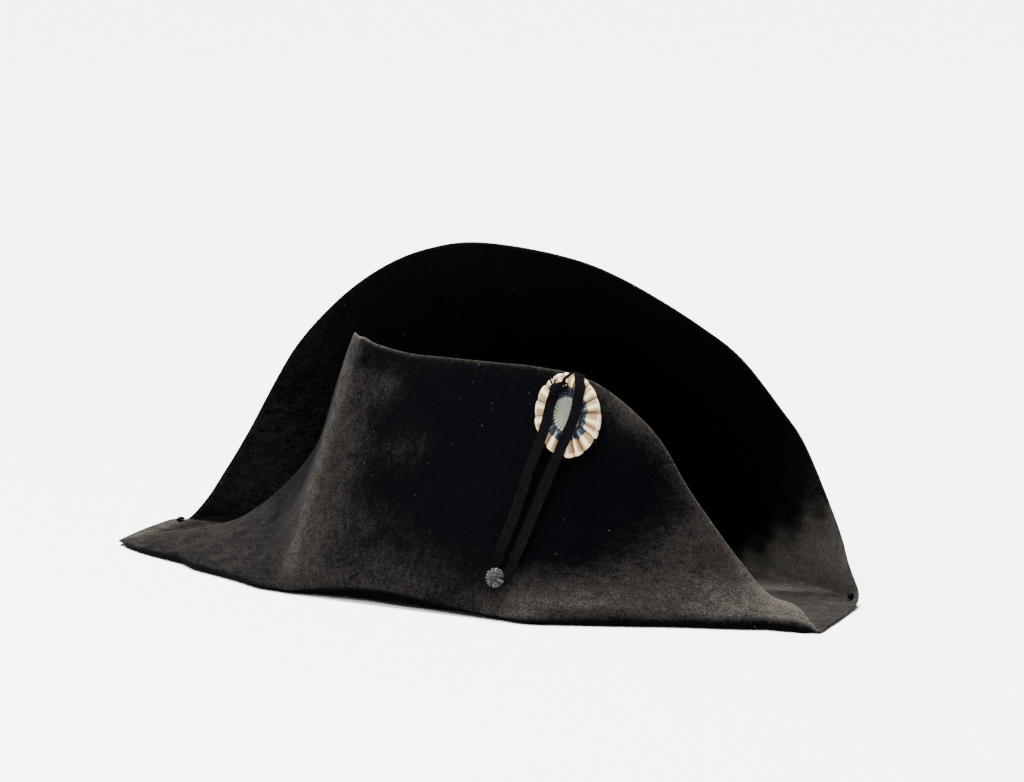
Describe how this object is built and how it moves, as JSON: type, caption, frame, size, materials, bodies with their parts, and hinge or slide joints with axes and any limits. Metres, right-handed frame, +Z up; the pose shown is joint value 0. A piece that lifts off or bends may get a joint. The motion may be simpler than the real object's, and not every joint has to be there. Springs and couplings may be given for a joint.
{
  "type": "bicorne hat",
  "caption": "Felt bicorne with a tall rear flap, a lower front flap, a pleated cockade, a loop of tape and a thread button",
  "frame": {"origin": "on the ground at the centre of the hat's base, as it rests", "axes": "+X runs from one corner to the other, +Y towards the tall rear flap, +Z up; the front flap with the cockade faces -Y"},
  "size_m": [0.485, 0.2095, 0.201],
  "materials": {
    "beaver_felt": "black napped fur felt, sun-faded to brown along folds, wings and cut edges, matt with a faint sheen",
    "pleated_silk": "gathered silk ribbon in cream, blue and white rings, soft satin",
    "twill_tape": "flat black twill tape with selvedges, matt",
    "wound_thread": "dull grey-black thread wound over a dome",
    "black_thread": "black sewing thread with frayed ends, matt"
  },
  "bodies": {
    "root": {"felt_body": "beaver_felt", "cockade": "pleated_silk", "loop_tape": "twill_tape", "button": "wound_thread", "stitch_knot": "black_thread", "corner_tack_left": "black_thread", "corner_tack_right": "black_thread"}
  },
  "joints": []
}
